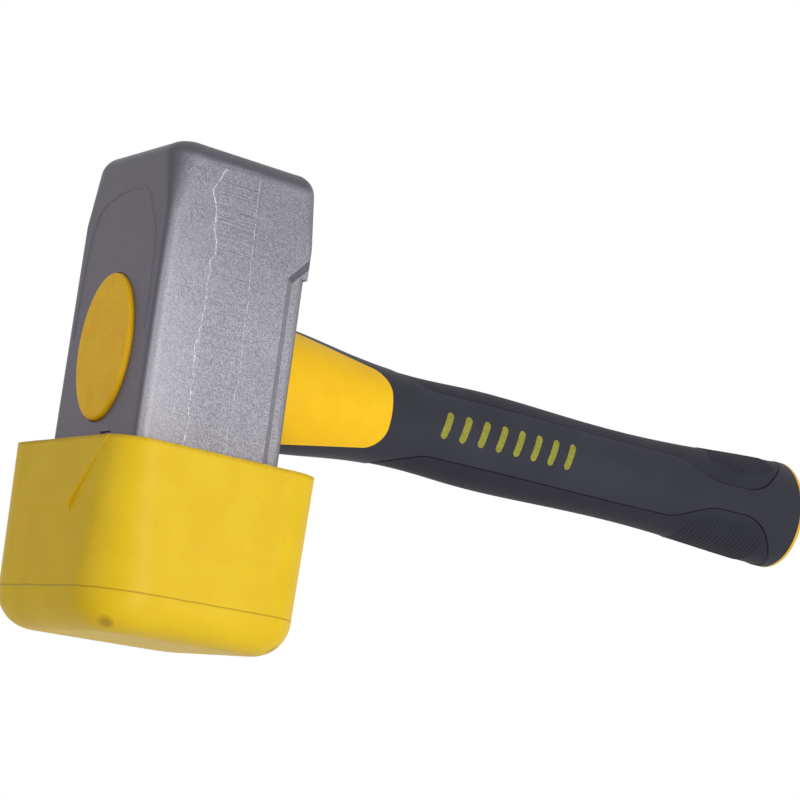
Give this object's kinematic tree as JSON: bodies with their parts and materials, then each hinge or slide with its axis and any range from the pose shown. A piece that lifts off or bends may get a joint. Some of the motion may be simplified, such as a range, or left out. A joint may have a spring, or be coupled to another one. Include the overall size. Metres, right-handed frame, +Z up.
{
  "type": "club hammer with soft striking cap",
  "caption": "Brick hammer: square steel head with a thick soft push-on cap over its lower face and a three-material grip handle fixed through an oval eye.",
  "frame": {"origin": "middle of the cap's flat lower face, on which the hammer stands", "axes": "+Z up the head, away from the cap; +X out along the handle, away from the head"},
  "size_m": [0.2715, 0.0654, 0.1324],
  "materials": {
    "lacquered_steel": "grey lacquer with a fine grain over forged steel",
    "cap_polyurethane": "satin, faintly mottled",
    "core_plastic": "satin",
    "glass_fibre": "matt, long strands",
    "damping_rubber": "matt",
    "bond_resin": "dark set resin",
    "wedge_plastic": "satin, faintly speckled",
    "shell_plastic": "satin blue-grey",
    "pad_rubber": "soft and matt",
    "butt_plastic": "satin"
  },
  "bodies": {
    "cap": {"striking_cap": "cap_polyurethane"},
    "hammer": {"head": "lacquered_steel", "handle_core": "core_plastic", "glass_fibre_rod": "glass_fibre", "damping_sleeve": "damping_rubber", "eye_bond": "bond_resin", "eye_wedge": "wedge_plastic", "grip_shell": "shell_plastic", "upper_grip_pad": "pad_rubber", "lower_grip_pad": "pad_rubber", "butt_cap": "butt_plastic"}
  },
  "joints": [
    {"name": "cap_pull", "type": "slide", "parent": "cap", "child": "hammer", "axis": [0, 0, 1], "range_m": [0, 0.032]}
  ]
}
